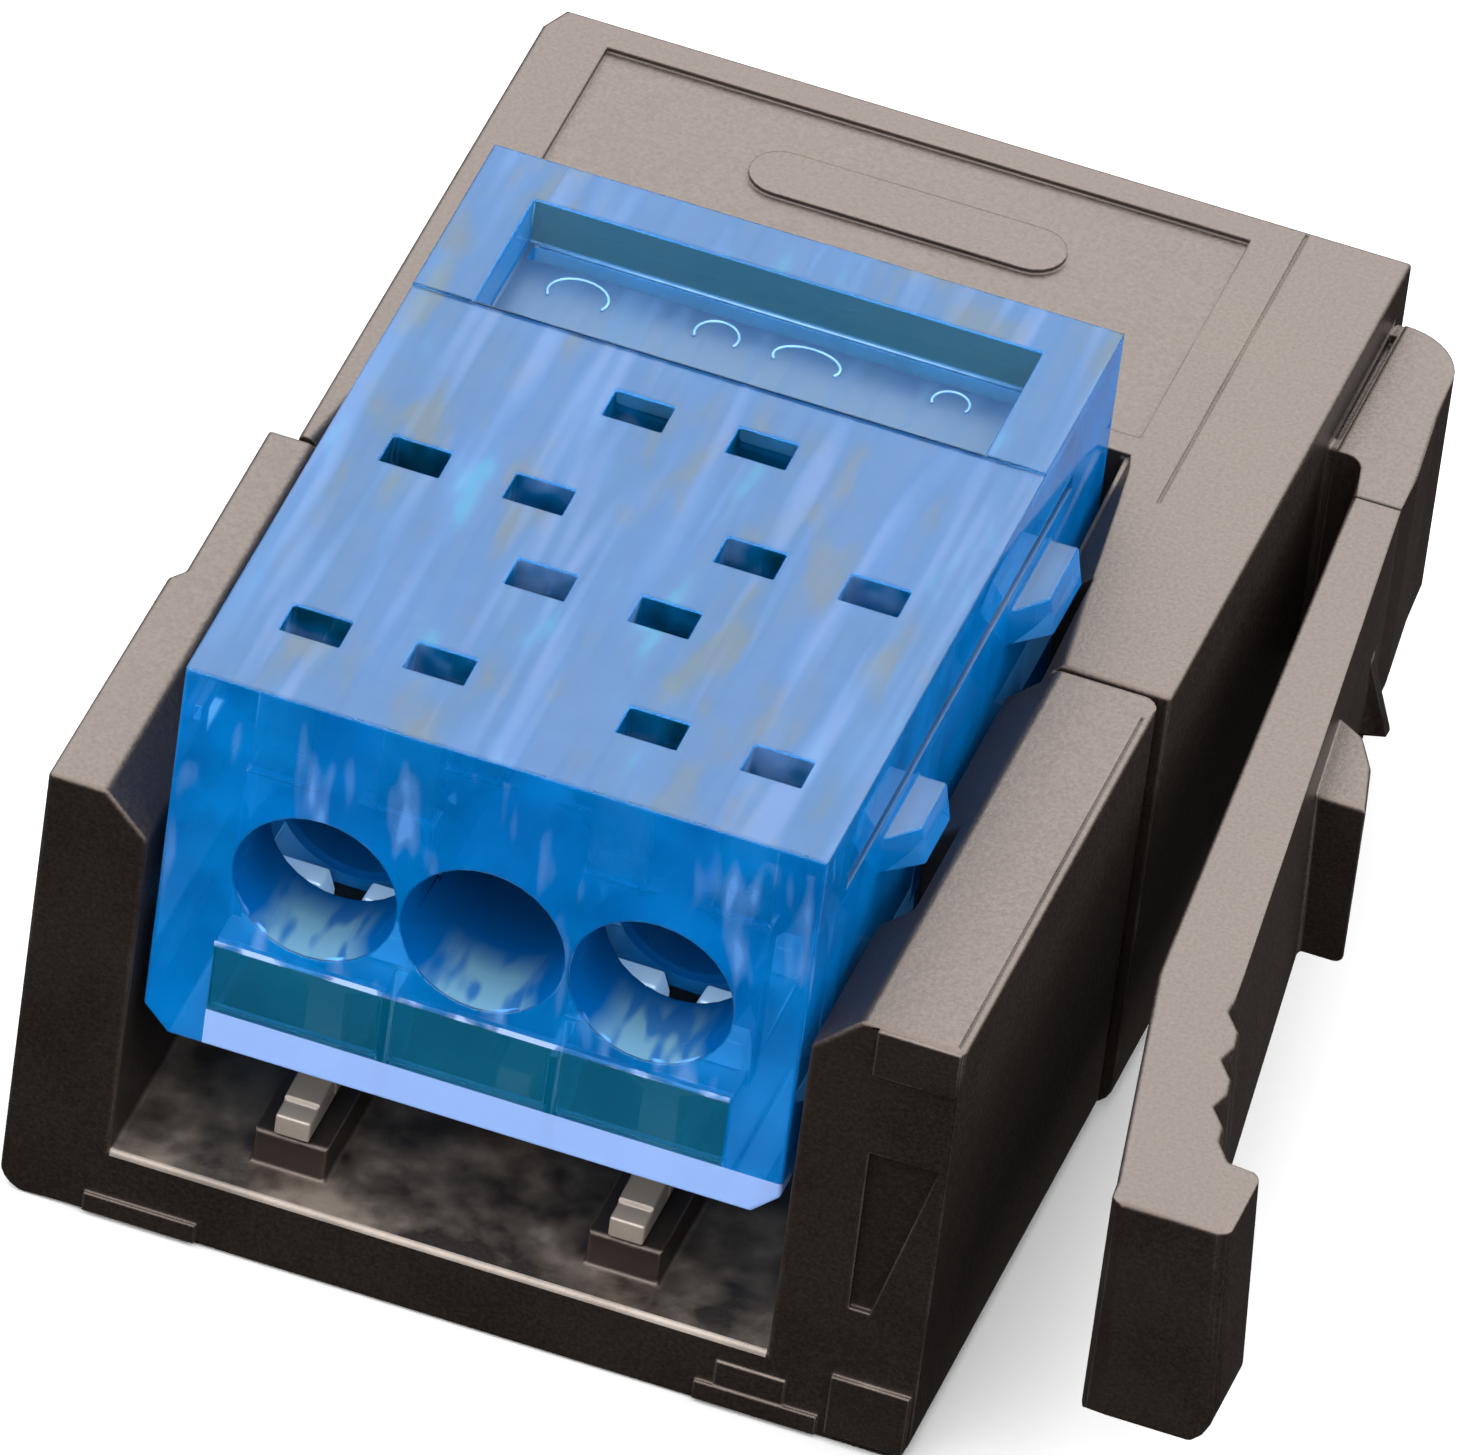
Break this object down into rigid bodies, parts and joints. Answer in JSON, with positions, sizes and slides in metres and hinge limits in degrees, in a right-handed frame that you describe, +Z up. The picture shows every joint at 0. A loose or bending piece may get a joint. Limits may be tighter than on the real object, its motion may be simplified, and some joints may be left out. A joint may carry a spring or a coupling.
{
  "type": "sensor cable connector plug",
  "caption": "Insulation-displacement connector plug for sensor cable: dark moulded housing, stamped contacts, translucent blue press-down wiring cover and a flexing side latch lever.",
  "frame": {"origin": "middle of the housing's flat underside, on the middle wire's line", "axes": "+X towards the latch lever, +Y towards the mating end, +Z up, away from the underside"},
  "size_m": [0.0146, 0.0168, 0.008],
  "materials": {
    "housing_plastic": "fine-grained dark brown-black polyester",
    "lever_plastic": "fine-grained dark brown-black polyester",
    "cover_plastic": "translucent blue polycarbonate",
    "contact_metal": "tin-plated copper alloy strip"
  },
  "bodies": {
    "housing_body": {"housing": "housing_plastic", "contact_1": "contact_metal", "contact_2": "contact_metal", "contact_3": "contact_metal"},
    "cover": {"wiring_cover": "cover_plastic"},
    "lever": {"latch_lever": "lever_plastic"}
  },
  "joints": [
    {"name": "cover_press", "type": "slide", "parent": "housing_body", "child": "cover", "axis": [0, 0, -1], "range_m": [0, 0.0017]},
    {"name": "lever_flex", "type": "hinge", "parent": "housing_body", "child": "lever", "pos_m": [0.00662, 0.0043, 0.00398], "axis": [0, 0, -1], "range_deg": [0, 7.5]}
  ]
}
